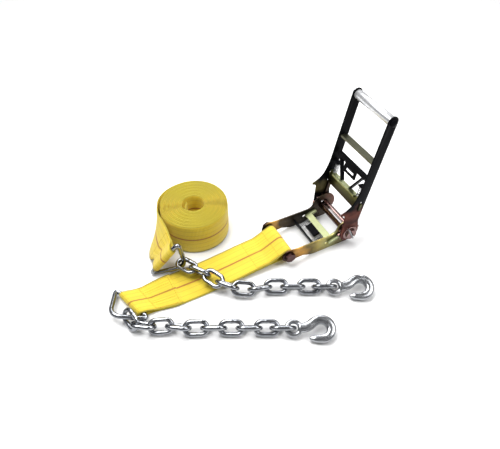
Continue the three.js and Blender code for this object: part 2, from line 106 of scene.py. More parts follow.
# ---- materials ----------------------------------------------------------
def nodes_of(name):
    material = bpy.data.materials.new(name)
    material.use_nodes = True
    tree = material.node_tree
    shader = tree.nodes["Principled BSDF"]
    return material, tree, shader


def math_node(tree, operation, a, b=None):
    node = tree.nodes.new("ShaderNodeMath")
    node.operation = operation
    for i, value in enumerate((a, b)):
        if value is None:
            continue
        if isinstance(value, (int, float)):
            node.inputs[i].default_value = value
        else:
            tree.links.new(value, node.inputs[i])
    return node.outputs[0]


def ramp_node(tree, factor, stops):
    node = tree.nodes.new("ShaderNodeValToRGB")
    ramp = node.color_ramp
    while len(ramp.elements) < len(stops):
        ramp.elements.new(0.5)
    for element, (at, colour) in zip(ramp.elements, stops):
        element.position = at
        element.color = (*colour, 1)
    tree.links.new(factor, node.inputs["Fac"])
    return node.outputs["Color"]


def noise_node(tree, coords, scale, detail=4):
    node = tree.nodes.new("ShaderNodeTexNoise")
    node.inputs["Scale"].default_value = scale
    node.inputs["Detail"].default_value = detail
    tree.links.new(coords, node.inputs["Vector"])
    return node.outputs["Fac"]


# A run so long that only the noise moves the colour.
EVEN = 1e3


def metal(name, stops, axis=(0, 0, 1), start=(0, 0, 0), length=0.1, rough=(0.25, 0.45), metallic=0.9,
          patchy=0.25, scale=45, grain=0.12, ior=1.5):
    """Plated metal whose colour runs along an axis and wanders with a soft noise."""
    material, tree, shader = nodes_of(name)
    coords = tree.nodes.new("ShaderNodeTexCoord").outputs["Object"]
    shift = tree.nodes.new("ShaderNodeVectorMath")
    shift.operation = "SUBTRACT"
    shift.inputs[1].default_value = start
    tree.links.new(coords, shift.inputs[0])
    dot = tree.nodes.new("ShaderNodeVectorMath")
    dot.operation = "DOT_PRODUCT"
    dot.inputs[1].default_value = Vector(axis).normalized() / length
    tree.links.new(shift.outputs[0], dot.inputs[0])
    wander = noise_node(tree, coords, scale)
    along = math_node(tree, "ADD", dot.outputs["Value"],
                      math_node(tree, "MULTIPLY", math_node(tree, "SUBTRACT", wander, 0.5), patchy * 2))
    tree.links.new(ramp_node(tree, along, stops), shader.inputs["Base Color"])
    fine = noise_node(tree, coords, 700, 3)
    spread = math_node(tree, "MULTIPLY", noise_node(tree, coords, scale * 2.3), rough[1] - rough[0])
    tree.links.new(math_node(tree, "ADD", spread, rough[0]), shader.inputs["Roughness"])
    shader.inputs["Metallic"].default_value = metallic
    shader.inputs["IOR"].default_value = ior
    bump = tree.nodes.new("ShaderNodeBump")
    bump.inputs["Strength"].default_value = grain
    bump.inputs["Distance"].default_value = 0.0004
    tree.links.new(fine, bump.inputs["Height"])
    tree.links.new(bump.outputs[0], shader.inputs["Normal"])
    return material


def webbing_material(name, half_width):
    """Woven tape with a centre stripe; U runs over the width and V along it, in metres."""
    material, tree, shader = nodes_of(name)
    uv = tree.nodes.new("ShaderNodeUVMap")
    uv.uv_map = "tape"
    split = tree.nodes.new("ShaderNodeSeparateXYZ")
    tree.links.new(uv.outputs[0], split.inputs[0])
    across, along = split.outputs[0], split.outputs[1]
    off = math_node(tree, "ABSOLUTE", across)
    coords = tree.nodes.new("ShaderNodeTexCoord").outputs["Object"]
    share = math_node(tree, "DIVIDE", off, half_width)
    # Across the width from the middle: a dark centre stripe, two thin darker stripes, and a darker band near
    # each edge. That edge band is painted shade: on the roll's top, where the tape's edges show, it draws
    # the dark lines between the turns.
    base = ramp_node(tree, share, [
        (0.0, (0.36, 0.13, 0.010)), (0.034, (0.4, 0.16, 0.012)), (0.062, (0.71, 0.52, 0.024)),
        (0.28, (0.74, 0.56, 0.028)), (0.30, (0.52, 0.35, 0.016)), (0.325, (0.74, 0.56, 0.028)),
        (0.60, (0.74, 0.57, 0.03)), (0.62, (0.52, 0.36, 0.016)), (0.645, (0.74, 0.56, 0.028)),
        (0.91, (0.7, 0.52, 0.024)), (0.95, (0.36, 0.27, 0.015)), (1.0, (0.48, 0.4, 0.012)),
    ])
    rib_pitch, pick_pitch = 0.0019, 0.0026
    rib = math_node(tree, "SINE", math_node(tree, "MULTIPLY", across, 2 * math.pi / rib_pitch))
    advance = math_node(tree, "MULTIPLY", along, 2 * math.pi / pick_pitch)
    pick = math_node(tree, "SINE", math_node(tree, "ADD", advance, math_node(tree, "MULTIPLY", rib, 1.5)))
    weave = math_node(tree, "MULTIPLY", rib, pick)
    soil = noise_node(tree, coords, 22, 5)
    tint = tree.nodes.new("ShaderNodeMix")
    tint.data_type = "RGBA"
    tint.blend_type = "MULTIPLY"
    tree.links.new(base, tint.inputs["A"])
    shade = math_node(tree, "ADD", math_node(tree, "MULTIPLY", weave, 0.09),
                      math_node(tree, "ADD", 0.88, math_node(tree, "MULTIPLY", soil, 0.2)))
    grey = tree.nodes.new("ShaderNodeCombineColor")
    for channel in ("Red", "Green", "Blue"):
        tree.links.new(shade, grey.inputs[channel])
    tree.links.new(grey.outputs[0], tint.inputs["B"])
    tint.inputs["Factor"].default_value = 1
    tree.links.new(tint.outputs["Result"], shader.inputs["Base Color"])
    rough = math_node(tree, "ADD", 0.5, math_node(tree, "MULTIPLY", soil, 0.25))
    tree.links.new(rough, shader.inputs["Roughness"])
    shader.inputs["Sheen Weight"].default_value = 0.15
    bump = tree.nodes.new("ShaderNodeBump")
    bump.inputs["Strength"].default_value = 0.55
    bump.inputs["Distance"].default_value = 0.0005
    tree.links.new(weave, bump.inputs["Height"])
    tree.links.new(bump.outputs[0], shader.inputs["Normal"])
    return material


def plain(name, colour, rough, metallic=0.0, grain=0.1):
    """One colour with a faint mottling and grain."""
    dark = tuple(c * 0.86 for c in colour)
    return metal(name, [(0.0, dark), (1.0, colour)], length=EVEN, rough=(rough, rough + 0.12),
                 metallic=metallic, patchy=0.5, scale=60, grain=grain)


X_LOCAL = RATCHET.to_3x3() @ Vector((1, 0, 0))
SPINDLE_AT = RATCHET @ Vector((0, 0, SPINDLE_Z * MM))
BOLT_AT = RATCHET @ Vector((BOLT["x"] * MM, 0, BOLT["z"] * MM))
HANDLE_UP = HANDLE.to_3x3() @ Vector((0, 0, 1))

BLACK = (0.005, 0.005, 0.006)

base_right_look = metal("base plating right", [
    (0.0, (0.03, 0.012, 0.01)), (0.1, (0.06, 0.026, 0.015)), (0.22, (0.46, 0.24, 0.05)),
    (0.36, (0.12, 0.09, 0.03)), (0.48, (0.33, 0.26, 0.07)), (0.66, (0.36, 0.35, 0.14)),
    (0.84, (0.15, 0.09, 0.055)), (1.0, (0.04, 0.03, 0.025)),
], X_LOCAL, BOLT_AT - X_LOCAL * 0.012, 0.165, rough=(0.2, 0.42), patchy=0.16, scale=44)
base_left_look = metal("base plating left", [
    (0.0, (0.02, 0.016, 0.012)), (0.14, (0.36, 0.2, 0.05)), (0.24, (0.05, 0.035, 0.02)),
    (0.62, (0.016, 0.014, 0.012)), (0.84, (0.05, 0.035, 0.02)), (1.0, (0.12, 0.05, 0.04)),
], X_LOCAL, BOLT_AT - X_LOCAL * 0.012, 0.17, rough=(0.2, 0.42), patchy=0.12, scale=38)
handle_right_look = metal("handle plating right", [
    (0.0, (0.1, 0.03, 0.025)), (0.1, (0.16, 0.055, 0.04)), (0.17, (0.04, 0.014, 0.012)),
    (0.24, (0.12, 0.04, 0.028)), (0.31, BLACK), (1.0, BLACK),
], HANDLE_UP, SPINDLE_AT - HANDLE_UP * 0.02, 0.28, rough=(0.24, 0.4), metallic=0.25, patchy=0.08,
    scale=44, ior=1.1)
handle_left_look = metal("handle plating left", [
    (0.0, BLACK), (0.16, BLACK), (0.2, (0.13, 0.11, 0.045)), (0.24, (0.1, 0.085, 0.035)),
    (0.28, BLACK), (1.0, BLACK),
], HANDLE_UP, SPINDLE_AT - HANDLE_UP * 0.02, 0.28, rough=(0.24, 0.4), metallic=0.1, patchy=0.06,
    scale=44, ior=1.1)
pawl_look = metal("pawl plating", [
    (0.0, (0.035, 0.02, 0.012)), (0.3, (0.04, 0.035, 0.015)), (0.6, (0.085, 0.085, 0.03)),
    (0.8, (0.16, 0.16, 0.06)), (1.0, (0.5, 0.54, 0.31)),
], HANDLE_UP, SPINDLE_AT + HANDLE_UP * 0.05, 0.034, rough=(0.22, 0.4), patchy=0.2, scale=34)
lock_look = metal("lock plating", [
    (0.0, (0.26, 0.28, 0.15)), (1.0, (0.42, 0.45, 0.27)),
], X_LOCAL, SPINDLE_AT, 0.05, rough=(0.25, 0.42), patchy=0.3, scale=40)
# The crossbar's colour runs from dark at its underside to lighter on its top, along the upward axis: painted
# shade below and painted light on top.
crossbar_shaded_look = metal("crossbar plating with painted shade", [
    (0.0, (0.06, 0.06, 0.035)), (1.0, (0.17, 0.17, 0.12)),
], (0, 0, 1), (0, 0, 0.186), 0.02, rough=(0.25, 0.45), patchy=0.3)
black_look = metal("black plating", [(0.0, BLACK), (1.0, (0.02, 0.019, 0.019))],
                   length=EVEN, rough=(0.2, 0.36), metallic=0.1, patchy=0.5, ior=1.06)
chain_look = metal("bright zinc", [
    (0.0, (0.26, 0.27, 0.29)), (0.5, (0.47, 0.48, 0.49)), (1.0, (0.58, 0.58, 0.57)),
], length=EVEN, rough=(0.1, 0.26), metallic=1.0, patchy=0.5, scale=60, grain=0.1)
hook_look = metal("hook zinc", [(0.0, (0.36, 0.37, 0.39)), (1.0, (0.64, 0.64, 0.64))],
                  length=EVEN, rough=(0.14, 0.32), metallic=1.0, patchy=0.5, scale=50, grain=0.16)
spindle_look = metal("spindle zinc", [(0.0, (0.2, 0.12, 0.11)), (1.0, (0.5, 0.43, 0.42))],
                     length=EVEN, rough=(0.16, 0.34), metallic=1.0, patchy=0.5, scale=55)
bolt_look = metal("bolt plating", [(0.0, (0.07, 0.03, 0.028)), (1.0, (0.26, 0.17, 0.15))],
                  length=EVEN, rough=(0.2, 0.4), metallic=0.9, patchy=0.5, scale=60)
spring_look = plain("spring steel", (0.36, 0.36, 0.37), 0.28, 1.0)
grip_look = plain("bright grip", (0.78, 0.79, 0.81), 0.26, 0.75, 0.06)
thread_look = plain("thread", (0.56, 0.36, 0.02), 0.7, 0.0, 0.3)
webbing_look = webbing_material("webbing", STRAP["half"] * MM)


# ---- meshes -------------------------------------------------------------
def new_mesh(name, verts, faces):
    mesh = bpy.data.meshes.new(name)
    mesh.from_pydata([tuple(v) for v in verts], [], faces)
    mesh.validate()
    shaped = bmesh.new()
    shaped.from_mesh(mesh)
    bmesh.ops.recalc_face_normals(shaped, faces=shaped.faces)
    shaped.to_mesh(mesh)
    shaped.free()
    mesh.polygons.foreach_set("use_smooth", [True] * len(mesh.polygons))
    return mesh


def piece(name, mesh, look, body, replaced=(), matrix=None):
    """Shows a mesh as a piece of the object that rides on one of the frame's bodies."""
    made = bpy.data.objects.new(name, mesh)
    bpy.context.scene.collection.objects.link(made)
    if matrix is not None:
        made.matrix_world = matrix
    if not mesh.materials:
        mesh.materials.append(look)
    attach(made, body)
    if replaced:
        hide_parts(*replaced)
    return made


def keep(node, look, bevel):
    """Shows a CAD node as it is, with soft edges."""
    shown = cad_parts[node]
    shown.data.materials.clear()
    shown.data.materials.append(look)
    edge = shown.modifiers.new("edge", "BEVEL")
    edge.width = bevel * MM
    edge.segments = 2
    edge.limit_method = "ANGLE"
    edge.angle_limit = math.radians(35)
    edge.harden_normals = True


def swept(rings, closed):
    """Verts and faces of a skin over rings of equal length; an open one gets end caps."""
    count = len(rings[0])
    verts = [v for ring in rings for v in ring]
    faces = []
    last = len(rings) if closed else len(rings) - 1
    for i in range(last):
        a, b = i * count, ((i + 1) % len(rings)) * count
        for k in range(count):
            n = (k + 1) % count
            faces.append((a + k, a + n, b + n, b + k))
    if not closed:
        faces.append(tuple(range(count))[::-1])
        faces.append(tuple(range(len(verts) - count, len(verts))))
    return verts, faces


def wire_along(points, radius, sides):
    """A round wire with two ends over points in millimetres, as verts in metres and faces."""
    points = [Vector(p) for p in points]
    rings = []
    side = None
    for i, p in enumerate(points):
        ahead = (points[min(i + 1, len(points) - 1)] - points[max(i - 1, 0)]).normalized()
        if side is None:
            side = ahead.orthogonal().normalized()
        side = (side - ahead * side.dot(ahead)).normalized()
        up = ahead.cross(side)
        rings.append([(p + side * (radius * math.cos(a)) + up * (radius * math.sin(a))) * MM
                      for a in (2 * math.pi * k / sides for k in range(sides))])
    return swept(rings, False)


def flat_loop(points, wire, sides, radii=None):
    """A closed wire whose middle line lies in the X-Y plane, with no twist where it closes."""
    count = len(points)
    rings = []
    for i, p in enumerate(points):
        ahead = (Vector(points[(i + 1) % count]) - Vector(points[i - 1])).normalized()
        out = Vector((ahead.y, -ahead.x, 0))
        r = radii[i] if radii else wire
        centre = Vector((p[0], p[1], 0))
        rings.append([(centre + out * (r * math.cos(a)) + Vector((0, 0, r * math.sin(a)))) * MM
                      for a in (2 * math.pi * k / sides for k in range(sides))])
    return swept(rings, True)


class Outline:
    """A flat outline drawn with lines, quadratic curves and arcs, in millimetres."""

    def __init__(self, x, y):
        self.points = [(x, y)]

    def line(self, x, y, steps=1):
        x0, y0 = self.points[-1]
        for i in range(1, steps + 1):
            self.points.append((x0 + (x - x0) * i / steps, y0 + (y - y0) * i / steps))
        return self

    def quad(self, cx, cy, x, y, steps=10):
        x0, y0 = self.points[-1]
        for i in range(1, steps + 1):
            t = i / steps
            self.points.append(((1 - t) ** 2 * x0 + 2 * t * (1 - t) * cx + t * t * x,
                                (1 - t) ** 2 * y0 + 2 * t * (1 - t) * cy + t * t * y))
        return self

    def arc(self, cx, cy, r, start, end, steps=40):
        for i in range(steps + 1):
            a = math.radians(start + (end - start) * i / steps)
            self.points.append((cx + r * math.cos(a), cy + r * math.sin(a)))
        return self

    def done(self):
        kept = []
        for p in self.points:
            if not kept or math.dist(p, kept[-1]) > 1e-3:
                kept.append(p)
        if math.dist(kept[0], kept[-1]) < 1e-3:
            kept.pop()
        return kept


def circle(cx, cy, r):
    steps = 48
    return [(cx + r * math.cos(a), cy + r * math.sin(a))
            for a in (2 * math.pi * i / steps for i in range(steps))]


def plate_mesh(name, loops, y0, y1, bevel):
    """A plate cut to an outline in X-Z with its holes, between two heights on Y, with soft edges."""
    curve = bpy.data.curves.new(name, "CURVE")
    curve.dimensions = "2D"
    curve.fill_mode = "BOTH"
    curve.extrude = (abs(y1 - y0) / 2 - bevel) * MM
    curve.bevel_depth = bevel * MM
    curve.bevel_resolution = 2
    curve.offset = -bevel * MM
    for loop in loops:
        spline = curve.splines.new("POLY")
        spline.points.add(len(loop) - 1)
        for point, (x, z) in zip(spline.points, loop):
            point.co = (x * MM, z * MM, 0, 1)
        spline.use_cyclic_u = True
    drawn = bpy.data.objects.new(name, curve)
    bpy.context.scene.collection.objects.link(drawn)
    bpy.context.view_layer.update()
    mesh = bpy.data.meshes.new_from_object(drawn.evaluated_get(bpy.context.evaluated_depsgraph_get()))
    bpy.data.objects.remove(drawn)
    bpy.data.curves.remove(curve)
    mesh.transform(Matrix.Rotation(math.radians(90), 4, "X"))
    mesh.transform(Matrix.Translation((0, (y0 + y1) / 2 * MM, 0)))
    shaped = bmesh.new()
    shaped.from_mesh(mesh)
    bmesh.ops.remove_doubles(shaped, verts=shaped.verts, dist=1e-6)
    bmesh.ops.recalc_face_normals(shaped, faces=shaped.faces)
    shaped.to_mesh(mesh)
    shaped.free()
    mesh.set_sharp_from_angle(angle=math.radians(40))
    return mesh


def lathe_mesh(name, profile):
    """A turned piece about Y from (radius, y) pairs; a profile off the axis closes on itself."""
    steps = 64
    rings = [[(r * math.cos(a) * MM, y * MM, r * math.sin(a) * MM) for r, y in profile]
             for a in (2 * math.pi * i / steps for i in range(steps))]
    mesh = new_mesh(name, *swept(rings, True))
    shaped = bmesh.new()
    shaped.from_mesh(mesh)
    bmesh.ops.remove_doubles(shaped, verts=shaped.verts, dist=1e-7)
    bmesh.ops.recalc_face_normals(shaped, faces=shaped.faces)
    shaped.to_mesh(mesh)
    shaped.free()
    mesh.set_sharp_from_angle(angle=math.radians(50))
    return mesh


def mesh_in_row(mesh, matrix):
    """Moves a mesh's own points into the row frame, so that colours that run over the object line up."""
    mesh.transform(matrix)
    if matrix.determinant() < 0:
        mesh.flip_normals()
    return mesh


def turned_piece(name, profile, matrix, look, body, replaced):
    piece(name, mesh_in_row(lathe_mesh(name, profile), matrix), look, body, replaced)


def both_sides(build):
    build("left", 1)
    build("right", -1)


def faces_of(layer, sign):
    """The inner and outer face of one layer of the ratchet's stack, on the side of the given sign."""
    inner, outer = STACK[layer]
    return inner * sign, outer * sign


# ---- ratchet base -------------------------------------------------------
def slot_loop(angle, half, r0, r1):
    """A radial slot in the side plate, as an outline in the ratchet's X-Z plane."""
    a = math.radians(angle)
    out, side = Vector((math.cos(a), math.sin(a))), Vector((-math.sin(a), math.cos(a)))
    centre = Vector((0, SPINDLE_Z))
    side *= half
    return [tuple(centre + c) for c in (out * r0 - side, out * r1 - side, out * r1 + side, out * r0 + side)]


def base_side(side, sign):
    outline = (Outline(-132, 37).line(-112, 34).line(-42, 33).quad(-26, 34, -23, 48)
               .arc(0, SPINDLE_Z, 27, 142, -50).line(6, 0).line(-72, 0).quad(-86, 1, -100, 8)
               .arc(BOLT["x"], BOLT["z"], 15, -80, -270)).done()
    loops = [outline, circle(0, SPINDLE_Z, 11.5), circle(BOLT["x"], BOLT["z"], BOLT["bore"]),
             slot_loop(LOCK_ANGLE, 3, 20.5, 52.6)]
    mesh = plate_mesh(f"base plate {side}", loops, *faces_of("base", sign), 0.6)
    look = base_left_look if side == "left" else base_right_look
    piece(f"base_side_{side}", mesh_in_row(mesh, RATCHET), look, "base", [f"base_plate_{side}"])


both_sides(base_side)
SLEEVE_WALL = [(BOLT["bore"], -40.2), (BOLT["sleeve"], -40.2), (BOLT["sleeve"], 40.2), (BOLT["bore"], 40.2)]
turned_piece("anchor_spacer", SLEEVE_WALL, RATCHET @ turned(BOLT["x"], 0, BOLT["z"], 0, 0), spring_look,
             "base", ["anchor_sleeve"])
keep("anchor_bolt", bolt_look, 0.8)
keep("anchor_nut", bolt_look, 0.8)
keep("lock_spring_bracket", black_look, 0.8)
keep("lock_pawl", lock_look, 0.6)
keep("lock_release_tab", black_look, 0.8)
keep("drive_pawl", pawl_look, 0.8)
keep("finger_trigger", black_look, 0.8)
keep("handle_crossbar", crossbar_shaded_look, 0.8)


def coil(name, matrix, length, turns, body, node):
    """A compression spring along a frame's Z, with its end turns closed."""
    radius, wire = COIL["radius"], COIL["wire"]
    closed = 2.2 * wire
    steps = turns * 28
    points = []
    for i in range(steps + 1):
        t = i / steps
        rise = np.interp(t * turns, [0, 1, turns - 1, turns], [wire, closed, length - closed, length - wire])
        a = 2 * math.pi * turns * t
        points.append(((radius - wire) * math.cos(a), (radius - wire) * math.sin(a), rise))
    mesh = mesh_in_row(new_mesh(name, *wire_along(points, wire, 8)), matrix)
    made = piece(name, mesh, spring_look, body, [node])
    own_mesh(made)


def springs(side, sign):
    lock = spoke(LOCK_ANGLE)
    coil(f"lock_coil_{side}", lock @ Matrix.Translation((0, 0.024 * sign, 0.0473)), 23.4, 8,
         "base", f"lock_spring_{side}")
    coil(f"drive_coil_{side}", HANDLE @ Matrix.Translation((0, 0.039 * sign, 0.0823)), 21.4, 7,
         "handle", f"drive_spring_{side}")


both_sides(springs)


# ---- spindle ------------------------------------------------------------
def wheel_outline():
    """A wheel of hooked teeth, each drawn as degrees past the middle of a gap and a radius."""
    tooth = [(-9, 25), (-8, 24.2), (-7.5, 20.6), (-6.8, 20), (0, 20), (7.5, 20), (11.5, 22.9), (15, 25)]
    points = []
    for i in range(TEETH):
        for turn, r in tooth:
            a = math.radians(LOCK_ANGLE + i * 360 / TEETH + turn)
            points.append((r * math.cos(a), r * math.sin(a)))
    return points


def spindle_side(side, sign):
    axle = RATCHET @ turned(0, 0, SPINDLE_Z, 0, 0)
    mesh = plate_mesh(f"wheel {side}", [wheel_outline(), circle(0, 0, 11.4)], *faces_of("wheel", sign), 0.4)
    piece(f"toothed_wheel_{side}", mesh_in_row(mesh, axle), spindle_look, "spindle",
          [f"ratchet_wheel_{side}"])
    y0, y1 = sorted(faces_of("washer", sign))
    washer = [(11.4, y0), (15.6, y0), (16, y0 + 0.4), (16, y1 - 0.4), (15.6, y1), (11.4, y1)]
    turned_piece(f"washer_{side}", washer, axle, spindle_look, "spindle",
                 [f"spindle_washer_{side}"])
    keep(f"spindle_pin_{side}", spring_look, 0.2)


both_sides(spindle_side)


def spindle_half(name, node, turn):
    """One of the two round bars, cut flat, that leave the slot for the webbing between them."""
    slotted = RATCHET @ turned(0, 0, SPINDLE_Z, 0, -25)
    radius, cut = 11, 2.5
    flat = math.degrees(math.acos(cut / radius))
    half = (Outline(cut, -radius * math.sin(math.radians(flat)))
            .arc(0, 0, radius, -flat, flat, 36).done())
    mesh = plate_mesh(name, [half], -61, 61, 0.5)
    if turn:
        mesh.transform(Matrix.Rotation(math.pi, 4, "Y"))
    piece(name, mesh_in_row(mesh, slotted), spindle_look, "spindle", [node])


spindle_half("spindle_bar_front", "spindle_half_front", True)
spindle_half("spindle_bar_back", "spindle_half_back", False)


# ---- handle -------------------------------------------------------------
def handle_side(side, sign):
    outline = (Outline(11, 30).line(11, GRIP_Z).arc(0, GRIP_Z, 11, 0, 180).line(-11, 108)
               .quad(-12.5, 84, -18, 72).quad(-24, 60, -38, 53).line(-37, 49).quad(-27, 50, -26, 38)
               .arc(0, 0, 20.5, 170, 385, 60)).done()
    slot = [(-3, 54), (3, 54), (3, 77), (-3, 77)]
    loops = [outline, circle(0, 0, 11.5), circle(0, GRIP_Z, 4.6), slot]
    mesh = plate_mesh(f"handle plate {side}", loops, *faces_of("handle", sign), 0.7)
    look = handle_left_look if side == "left" else handle_right_look
    piece(f"handle_side_{side}", mesh_in_row(mesh, HANDLE), look, "handle",
          [f"handle_plate_{side}"])
    seat = bpy.data.meshes.new(f"spring seat {side}")
    block = bmesh.new()
    bmesh.ops.create_cube(block, size=1)
    place = Matrix.Translation((0, (SEAT["from"] + SEAT["to"]) / 2 * sign * MM, SEAT["z"] * MM))
    size = Matrix.Diagonal((SEAT["wide"] * MM, (SEAT["to"] - SEAT["from"]) * MM, SEAT["high"] * MM, 1))
    bmesh.ops.transform(block, verts=block.verts, matrix=place @ size)
    bmesh.ops.bevel(block, geom=block.edges, offset=0.0006, segments=2, affect="EDGES")
    block.to_mesh(seat)
    block.free()
    piece(f"spring_seat_{side}", mesh_in_row(seat, HANDLE), look, "handle")


both_sides(handle_side)
grip_at = HANDLE @ Matrix.Translation((0, 0, GRIP_Z * MM))
turned_piece("grip_tube", [(4.9, -49.4), (8.1, -49.4), (9, -48.4), (9, 48.4), (8.1, 49.4), (4.9, 49.4)],
             grip_at, grip_look, "grip", ["grip_roller"])
turned_piece("grip_axle", [(0.01, -57.2), (4.5, -57.2), (7.2, -55.6), (7.5, -54), (7.5, -53), (4.3, -53),
                           (4.3, 59.4), (3.9, 59.7), (0.01, 59.7)],
             grip_at, black_look, "handle", ["grip_bolt"])
dome = [(4.6, 53), (7.5, 53), (7.5, 56), (7.1, 57), (6.2, 57.7), (4.6, 57.7)]
turned_piece("grip_end_nut", dome, grip_at, grip_look, "handle", ["grip_nut"])


# ---- chains, rings and hooks --------------------------------------------
def link_mesh():
    """A link of round wire, drawn as one side and one bend that are turned half round, with a weld bead."""
    straight, width, wire = 8.75, 11.25, 4.25
    half = [(-straight + 2 * straight * i / 8, -width) for i in range(8)]
    half += [(straight + width * math.cos(a), width * math.sin(a))
             for a in (-math.pi / 2 + math.pi * i / 18 for i in range(18))]
    points = half + [(-x, -y) for x, y in half]
    radii = [wire + (0.35 * math.exp(-((x / 1.5) ** 2)) if y < -width + 0.1 else 0) for x, y in points]
    mesh = new_mesh("link", *flat_loop(points, wire, 20, radii))
    mesh.materials.append(chain_look)
    return mesh


def fitted(node):
    """The frame of a flat, long CAD piece from its own points: X along it and Z through its face."""
    points = np.array([v.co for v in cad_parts[node].data.vertices], float)
    points = np.unique(points.round(6), axis=0)
    middle = points.mean(0)
    _, _, axes = np.linalg.svd(points - middle, full_matrices=False)
    x, y = Vector(axes[0]), Vector(axes[1])
    z = x.cross(y)
    turn = Matrix((x, y, z)).transposed().to_4x4()
    return Matrix.Translation(Vector(middle)) @ turn


LINK = link_mesh()
for side in ("left", "right"):
    for number in range(1, 11):
        node = f"{side}_chain_link_{number:02d}"
        piece(f"{side}_link_{number:02d}_welded", LINK, chain_look, f"{side}_link_{number:02d}",
              [node], fitted(node))


def ring_points():
    """A triangle with its bar on the Y axis and its point towards -X, with its three corners rounded."""
    half, reach, side_cut, point_cut = (RING[k] for k in ("half_bar", "reach", "side_cut", "point_cut"))
    leg = Vector((-reach, -half)).normalized()
    side_x, side_y = leg.x * side_cut, half + leg.y * side_cut
    point_x, point_y = -reach - leg.x * point_cut, abs(leg.y * point_cut)
    return (Outline(0, -half + side_cut).line(0, 0).line(0, half - side_cut)
            .quad(0, half, side_x, side_y).line(point_x, point_y, 8)
            .quad(-reach, 0, point_x, -point_y, 14).line(side_x, -side_y, 8)
            .quad(0, -half, 0, -half + side_cut).done())


def ring(name, node, body, matrix):
    mesh = new_mesh(name, *flat_loop(ring_points(), RING["wire"], 24))
    piece(name, mesh_in_row(mesh, matrix), chain_look, body, [node])


ring("delta_ring_left", "left_ring", "left_ring", LEFT_RING)
ring("delta_ring_right", "right_ring", "right_ring", RIGHT_RING)


def smooth_line(points, count):
    """Points along a smooth curve through the given ones, evenly apart."""
    points = np.array(points, float)
    ends = np.vstack([2 * points[0] - points[1], points, 2 * points[-1] - points[-2]])
    knots = np.concatenate([[0], np.cumsum(np.sqrt(np.linalg.norm(np.diff(ends, axis=0), axis=1)))])
    dense = []
    for i in range(1, len(ends) - 2):
        t0, t1, t2, t3 = knots[i - 1:i + 3]
        p0, p1, p2, p3 = ends[i - 1:i + 3]
        for t in np.linspace(t1, t2, 24, endpoint=False):
            a1 = (t1 - t) / (t1 - t0) * p0 + (t - t0) / (t1 - t0) * p1
            a2 = (t2 - t) / (t2 - t1) * p1 + (t - t1) / (t2 - t1) * p2
            a3 = (t3 - t) / (t3 - t2) * p2 + (t - t2) / (t3 - t2) * p3
            b1 = (t2 - t) / (t2 - t0) * a1 + (t - t0) / (t2 - t0) * a2
            b2 = (t3 - t) / (t3 - t1) * a2 + (t - t1) / (t3 - t1) * a3
            dense.append((t2 - t) / (t2 - t1) * b1 + (t - t1) / (t2 - t1) * b2)
    dense.append(points[-1])
    dense = np.array(dense)
    run = np.concatenate([[0], np.cumsum(np.linalg.norm(np.diff(dense, axis=0), axis=1))])
    even = np.linspace(0, run[-1], count)
    return np.stack([np.interp(even, run, dense[:, k]) for k in range(points.shape[1])], axis=1)


def hook(name, node, body):
    """A forged grab hook: an eye, a shank that swells into the bend, and a tapered tip."""
    # The hook lies tilted on the floor. Its eye lies a set way in from two sides of its levelled box.
    tilt = Matrix.Rotation(math.radians(20), 4, "X")
    points = np.array([v.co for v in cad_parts[node].data.vertices], float)
    level = np.array([tilt.inverted() @ Vector(p) for p in points]) / MM
    low, high = level.min(0), level.max(0)
    eye = Vector((low[0] + 16.4, low[1] + 25, (low[2] + high[2]) / 2))
    stations, sides, bore = 64, 20, 9.4 * MM
    bend_x, bend_y, bend_r = 49, -1.5, 16.75
    centre = [(9, 0.3), (18, 1), (27, 4.2), (36, 11.2), (43, 14.6)]
    centre += [(bend_x + bend_r * math.cos(a), bend_y + bend_r * math.sin(a))
               for a in (math.radians(90 - 22.5 * i) for i in range(9))]
    centre += [(40, -18.3), (32, -17.8), (27, -17.6)]
    line = smooth_line(centre, stations)
    span = np.linspace(0, 1, stations)
    wide = np.interp(span, [0, 0.12, 0.3, 0.55, 0.78, 0.92, 1], [8.4, 9, 8.4, 8.8, 8, 6.4, 2.8])
    deep = np.interp(span, [0, 0.15, 0.4, 0.7, 0.92, 1], [6.4, 6.7, 7.1, 7, 6.1, 3.3])
    rings = []
    for i in range(stations):
        ahead = line[min(i + 1, stations - 1)] - line[max(i - 1, 0)]
        ahead /= np.linalg.norm(ahead)
        out = np.array([-ahead[1], ahead[0]])
        section = []
        for k in range(sides):
            a = 2 * math.pi * k / sides
            c, s = (math.copysign(abs(value) ** 0.75, value) for value in (math.cos(a), math.sin(a)))
            flat = line[i] + out * wide[i] * c
            section.append(Vector((flat[0], flat[1], deep[i] * s)) * MM)
        rings.append(section)
    verts, faces = swept(rings, False)
    for v in verts:
        if math.hypot(v.x, v.y) < bore:
            away = Vector((v.x, v.y, 0)).normalized() * bore
            v.x, v.y = away.x, away.y
    ring_verts, ring_faces = flat_loop(circle(0, 0, 12), 4.4, 16)
    faces += [tuple(i + len(verts) for i in face) for face in ring_faces]
    verts += ring_verts
    mesh = new_mesh(name, verts, faces)
    made = piece(name, mesh, hook_look, body, [node],
                 tilt @ Matrix.Translation(eye * MM))
    blend = made.modifiers.new("blend", "REMESH")
    blend.mode = "VOXEL"
    blend.voxel_size = 0.0009
    blend.use_smooth_shade = True
    soft = made.modifiers.new("soft", "SMOOTH")
    soft.factor = 0.6
    soft.iterations = 9


hook("forged_hook_left", "left_grab_hook", "left_hook")
hook("forged_hook_right", "right_grab_hook", "right_hook")


